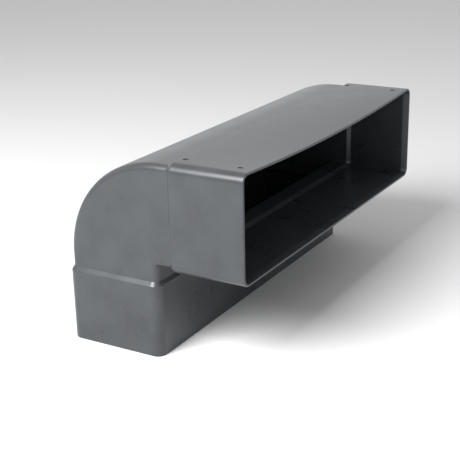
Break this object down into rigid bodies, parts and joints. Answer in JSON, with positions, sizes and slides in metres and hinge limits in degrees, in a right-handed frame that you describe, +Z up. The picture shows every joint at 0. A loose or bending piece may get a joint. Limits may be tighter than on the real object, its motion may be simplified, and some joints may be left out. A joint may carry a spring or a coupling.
{
  "type": "flat duct bend",
  "caption": "Flat rectangular duct bend, moulded in one piece: a quarter-round hollow body that turns a duct through a right angle, with a stepped female socket at each end.",
  "frame": {"origin": "centre of the footprint of the whole part, on the plane of the lower socket's rim", "axes": "+Z up, out of the floor on which the lower rim stands; the front socket opens towards -Y; X runs along the duct's width"},
  "size_m": [0.2244, 0.1112, 0.1092],
  "materials": {
    "moulded_plastic": "satin, as moulded"
  },
  "bodies": {
    "root": {"duct_bend": "moulded_plastic"}
  },
  "joints": []
}
